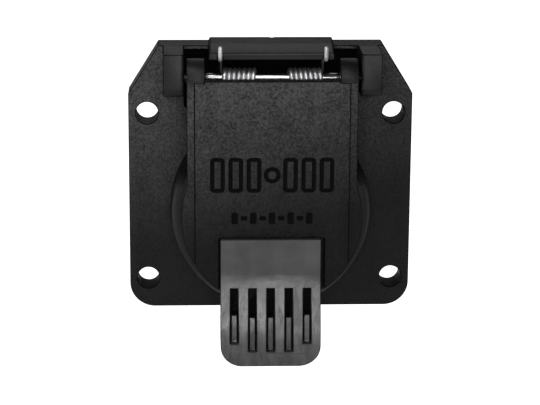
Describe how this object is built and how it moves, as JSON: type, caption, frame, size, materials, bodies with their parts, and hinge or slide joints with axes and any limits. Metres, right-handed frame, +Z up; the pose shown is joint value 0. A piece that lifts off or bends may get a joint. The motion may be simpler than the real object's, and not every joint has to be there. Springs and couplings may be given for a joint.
{
  "type": "trailer wiring socket",
  "caption": "Flange-mounted vehicle-side trailer wiring socket with a sprung hinged lid, a pull tab, flat blade contacts round a centre pin and a harness port behind.",
  "frame": {"origin": "centre of the four-hole bolt pattern, on the plane where the flange's back seats on the vehicle", "axes": "+Y points back along the bolts and the harness port, the lid faces -Y, +Z is up"},
  "size_m": [0.08, 0.0884, 0.091],
  "materials": {
    "housing_plastic": "fine-textured black moulding",
    "lid_plastic": "fine-textured black moulding",
    "grip_plastic": "smooth charcoal, semi-gloss",
    "gasket_rubber": "soft black",
    "pin_steel": "bright drawn stainless",
    "spring_steel": "bright stainless spring wire",
    "carrier_plastic": "satin black",
    "contact_brass": "stamped brass",
    "seal_rubber": "soft black",
    "potting_resin": "cast resin",
    "rear_seal_rubber": "rust-red silicone",
    "screw_steel": "zinc-plated"
  },
  "bodies": {
    "housing_body": {"housing": "housing_plastic", "hinge_pin": "pin_steel", "lid_spring": "spring_steel", "contact_carrier": "carrier_plastic", "blade_contact_1": "contact_brass", "blade_contact_2": "contact_brass", "blade_contact_3": "contact_brass", "blade_contact_4": "contact_brass", "blade_contact_5": "contact_brass", "blade_contact_6": "contact_brass", "centre_contact": "contact_brass", "carrier_seal": "seal_rubber", "potting": "potting_resin", "rear_cover": "housing_plastic", "rear_cover_seal": "rear_seal_rubber", "rear_cover_screws": "screw_steel"},
    "lid_body": {"lid": "lid_plastic", "lid_grip": "grip_plastic", "lid_gasket": "gasket_rubber"}
  },
  "joints": [
    {"name": "lid_hinge", "type": "hinge", "parent": "housing_body", "child": "lid_body", "pos_m": [0, -0.0185, 0.0362], "axis": [-1, 0, 0], "range_deg": [0, 95], "stiffness_Nm_per_rad": 0.05, "springref_deg": -74.48, "deforming": ["lid_spring"]}
  ]
}
